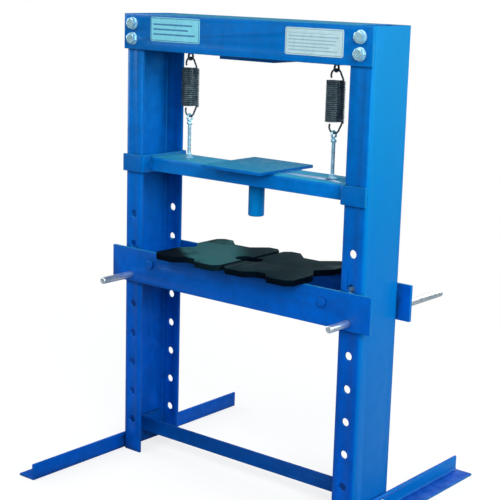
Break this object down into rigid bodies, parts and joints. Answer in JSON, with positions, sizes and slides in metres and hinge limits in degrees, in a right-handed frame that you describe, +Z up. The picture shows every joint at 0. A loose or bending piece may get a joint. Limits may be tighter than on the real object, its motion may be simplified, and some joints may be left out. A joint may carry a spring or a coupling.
{
  "type": "arbor press",
  "caption": "H-frame floor arbor press: channel uprights, top beam, spring-returned ram crosspiece, pinned bed with notched press plates, angle feet.",
  "frame": {"origin": "on the floor, midway between the two uprights", "axes": "+X to the right upright, +Y to the rear, +Z up"},
  "size_m": [0.776, 0.72, 1.05],
  "materials": {
    "frame_paint": "semi-gloss blue enamel over steel",
    "zinc": "bright zinc plating",
    "spring_black": "black oxide, oiled",
    "plate_iron": "dark blue-black cast surface",
    "label": "satin printed foil, blank"
  },
  "bodies": {
    "frame": {"left_upright": "frame_paint", "right_upright": "frame_paint", "beam_front_plate": "frame_paint", "beam_rear_plate": "frame_paint", "beam_top_plate": "frame_paint", "beam_bottom_plate": "frame_paint", "jack_pad": "frame_paint", "beam_bolts": "zinc", "beam_washers": "zinc", "beam_nuts": "zinc", "label_left": "label", "label_right": "label", "spring_eye_left": "spring_black", "spring_eye_right": "spring_black", "spring_eye_nuts": "zinc", "return_spring_left": "spring_black", "return_spring_right": "spring_black", "bed_front_rail": "frame_paint", "bed_rear_rail": "frame_paint", "bed_spacers": "frame_paint", "bed_spacer_bolts": "frame_paint", "bed_spacer_nuts": "frame_paint", "base_crossbar": "frame_paint", "foot_left": "frame_paint", "foot_right": "frame_paint", "foot_bolts": "zinc", "foot_washers": "zinc", "foot_nuts": "zinc"},
    "ram": {"ram_crosspiece": "frame_paint", "ram_guide_left": "frame_paint", "ram_guide_right": "frame_paint", "jack_saddle": "frame_paint", "ram_stub": "frame_paint", "spring_rod_left": "zinc", "spring_rod_right": "zinc", "spring_rod_washers": "zinc", "spring_rod_nuts": "zinc"},
    "pin_left": {"bed_pin_left": "zinc"},
    "pin_right": {"bed_pin_right": "zinc"},
    "plate_left": {"press_plate_left": "plate_iron"},
    "plate_right": {"press_plate_right": "plate_iron"}
  },
  "joints": [
    {"name": "ram_slide", "type": "slide", "parent": "frame", "child": "ram", "axis": [0, 0, -1], "range_m": [0, 0.09], "stiffness_N_per_m": 1500, "springref_m": -0.03, "deforming": ["return_spring_left", "return_spring_right"]},
    {"name": "pin_left_slide", "type": "slide", "parent": "frame", "child": "pin_left", "axis": [0, -1, 0], "range_m": [0, 0.37]},
    {"name": "pin_right_slide", "type": "slide", "parent": "frame", "child": "pin_right", "axis": [0, -1, 0], "range_m": [0, 0.4]},
    {"name": "plate_left_slide", "type": "slide", "parent": "frame", "child": "plate_left", "axis": [-1, 0, 0], "range_m": [-0.005, 0.08]},
    {"name": "plate_right_slide", "type": "slide", "parent": "frame", "child": "plate_right", "axis": [1, 0, 0], "range_m": [-0.005, 0.08]}
  ]
}
